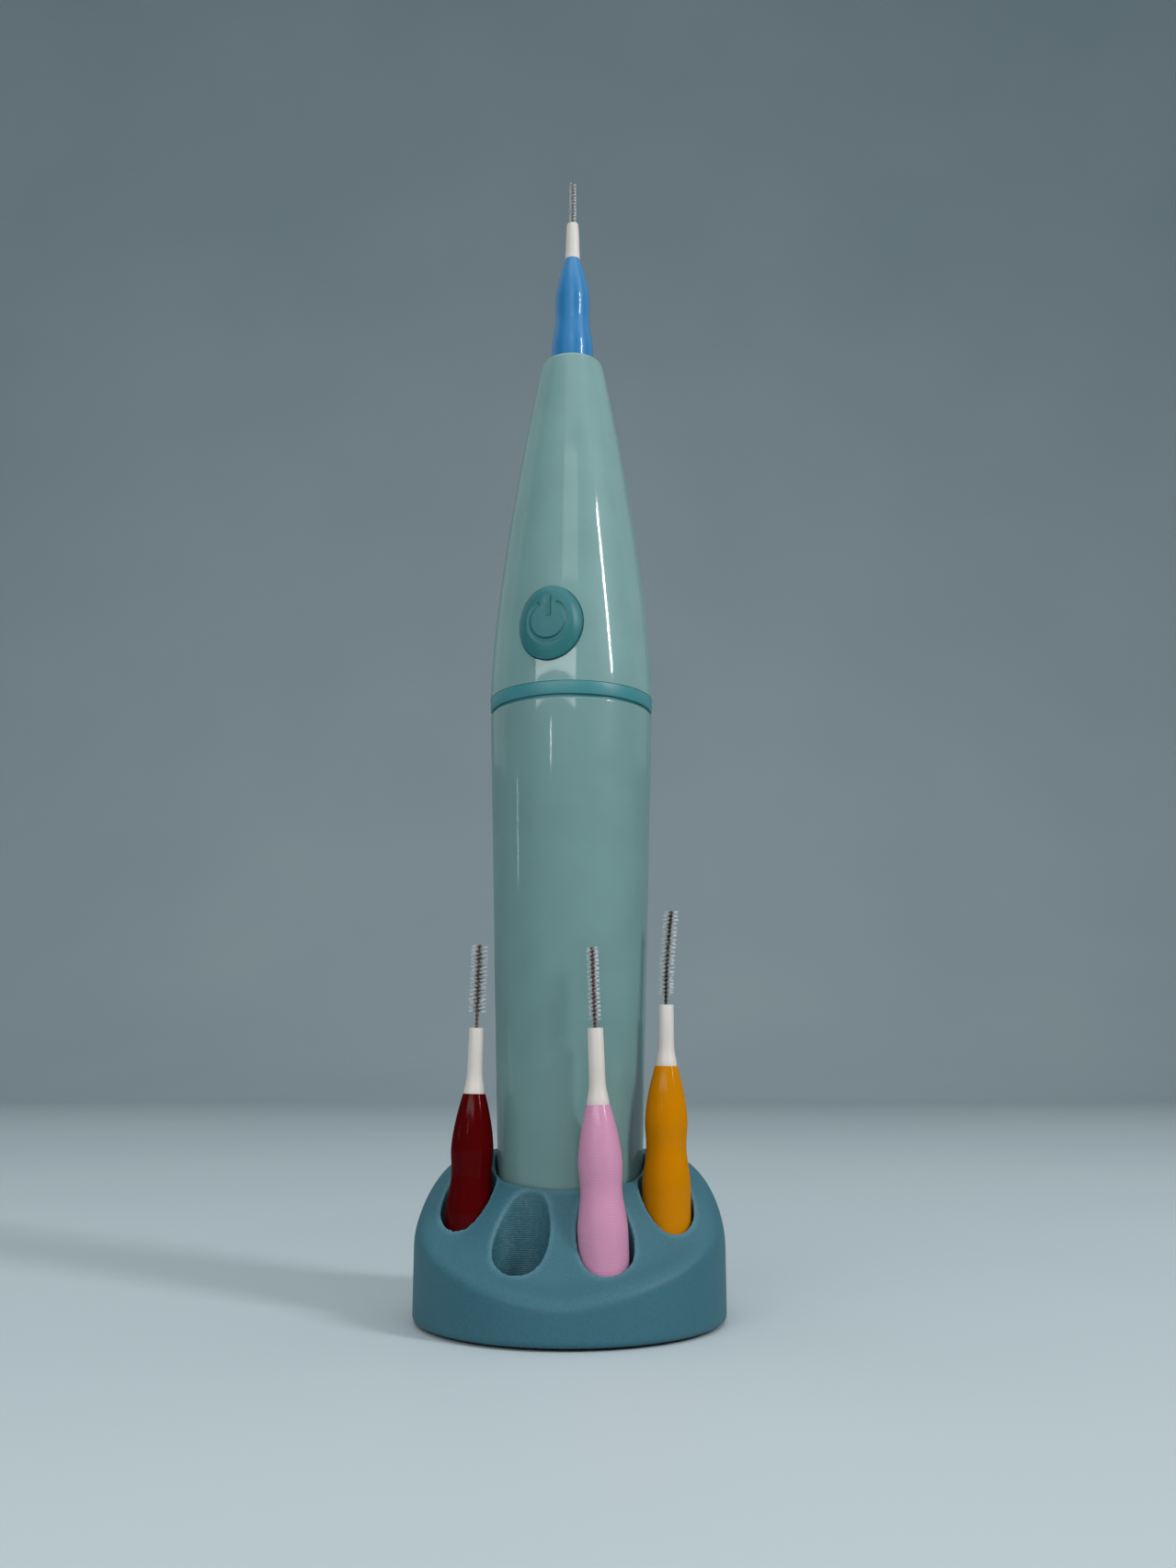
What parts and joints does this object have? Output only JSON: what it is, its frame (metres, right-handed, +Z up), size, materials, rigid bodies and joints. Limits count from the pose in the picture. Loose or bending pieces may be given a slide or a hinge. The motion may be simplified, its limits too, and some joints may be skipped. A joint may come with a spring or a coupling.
{
  "type": "powered interdental brush with stand",
  "caption": "Battery handle with a turning interdental brush, in a round stand whose front sockets hold spare brush heads and have one place free.",
  "frame": {"origin": "middle of the stand's underside, on the table", "axes": "+Z up along the handle, -Y towards the front with the sockets, +X to the right seen from the front"},
  "size_m": [0.048, 0.048, 0.1967],
  "materials": {
    "mint_shell": "glossy painted shell",
    "teal_plastic": "satin moulded plastic",
    "slate_shell": "matte painted shell",
    "white_plastic": "moulded plastic",
    "neck_plastic": "satin white plastic",
    "steel": "turned steel",
    "brass": "plain brass",
    "magnet": "dark grey coating",
    "cell_wrap": "printed sleeve left plain",
    "rubber": "matte black rubber",
    "board": "green solder resist",
    "black_plastic": "moulded plastic",
    "blue_paint": "gloss paint over fine layer lines",
    "red_paint": "gloss paint over fine layer lines",
    "pink_paint": "satin paint over fine layer lines",
    "yellow_paint": "gloss paint over fine layer lines",
    "brush_wire": "twisted steel wire",
    "bristle": "nylon filament"
  },
  "bodies": {
    "stand": {"stand_body": "slate_shell", "weight_plate": "steel", "base_cover": "slate_shell", "foot_ring": "rubber", "base_screws": "steel"},
    "tube": {"battery_tube": "mint_shell", "battery_guide": "white_plastic", "battery_cell": "cell_wrap", "negative_spring": "steel", "negative_plate": "brass", "contact_strip": "brass"},
    "handle_head": {"accent_ring": "teal_plastic", "seal_ring": "rubber", "head_housing": "mint_shell", "motor_frame": "white_plastic", "positive_contact": "brass", "motor_can": "steel", "motor_magnets": "magnet", "motor_end_cap": "white_plastic", "ring_gear": "white_plastic", "gear_cover": "white_plastic", "gear_screws": "steel", "nose_bush": "brass", "nose_seal": "rubber", "switch_board": "board", "button_switch": "black_plastic"},
    "button": {"power_button": "teal_plastic"},
    "rotor": {"motor_rotor": "steel", "sun_gear": "brass"},
    "spindle": {"drive_spindle": "steel", "planet_carrier": "brass"},
    "planet_a": {"planet_gear_a": "white_plastic"},
    "planet_b": {"planet_gear_b": "white_plastic"},
    "planet_c": {"planet_gear_c": "white_plastic"},
    "blue_head": {"blue_grip": "blue_paint", "blue_neck": "neck_plastic", "blue_brush": "brush_wire"},
    "red_head": {"red_grip": "red_paint", "red_neck": "neck_plastic", "red_brush": "brush_wire"},
    "pink_head": {"pink_grip": "pink_paint", "pink_neck": "neck_plastic", "pink_brush": "brush_wire"},
    "yellow_head": {"yellow_grip": "yellow_paint", "yellow_neck": "neck_plastic", "yellow_brush": "brush_wire"}
  },
  "joints": [
    {"name": "handle_lift", "type": "slide", "parent": "stand", "child": "tube", "axis": [0, 0, 1], "range_m": [0, 0.03]},
    {"name": "head_pull", "type": "slide", "parent": "tube", "child": "handle_head", "axis": [0, 0, 1], "range_m": [0, 0.034]},
    {"name": "button_press", "type": "slide", "parent": "handle_head", "child": "button", "axis": [0.2588, 0.9659, 0], "range_m": [0, 0.0004], "stiffness_N_per_m": 800},
    {"name": "rotor_spin", "type": "hinge", "parent": "handle_head", "child": "rotor", "pos_m": [0, 0, 0.083], "axis": [0, 0, 1], "continuous": true},
    {"name": "brush_spin", "type": "hinge", "parent": "handle_head", "child": "spindle", "pos_m": [0, 0, 0.13], "axis": [0, 0, 1], "continuous": true},
    {"name": "planet_a_spin", "type": "hinge", "parent": "spindle", "child": "planet_a", "pos_m": [0.0042, 0, 0.0973], "axis": [0, 0, 1], "continuous": true},
    {"name": "planet_b_spin", "type": "hinge", "parent": "spindle", "child": "planet_b", "pos_m": [-0.0021, 0.00364, 0.0973], "axis": [0, 0, 1], "continuous": true},
    {"name": "planet_c_spin", "type": "hinge", "parent": "spindle", "child": "planet_c", "pos_m": [-0.0021, -0.00364, 0.0973], "axis": [0, 0, 1], "continuous": true},
    {"name": "blue_head_pull", "type": "slide", "parent": "spindle", "child": "blue_head", "axis": [0, 0, 1], "range_m": [0, 0.009]},
    {"name": "red_head_lift", "type": "slide", "parent": "stand", "child": "red_head", "axis": [0, 0, 1], "range_m": [0, 0.025]},
    {"name": "pink_head_lift", "type": "slide", "parent": "stand", "child": "pink_head", "axis": [0, 0, 1], "range_m": [0, 0.025]},
    {"name": "yellow_head_lift", "type": "slide", "parent": "stand", "child": "yellow_head", "axis": [0, 0, 1], "range_m": [0, 0.025]}
  ],
  "couplings": [
    {"joint": "brush_spin", "follows": "rotor_spin", "ratio": 0.21429},
    {"joint": "planet_a_spin", "follows": "rotor_spin", "ratio": -0.58929},
    {"joint": "planet_b_spin", "follows": "rotor_spin", "ratio": -0.58929},
    {"joint": "planet_c_spin", "follows": "rotor_spin", "ratio": -0.58929}
  ]
}
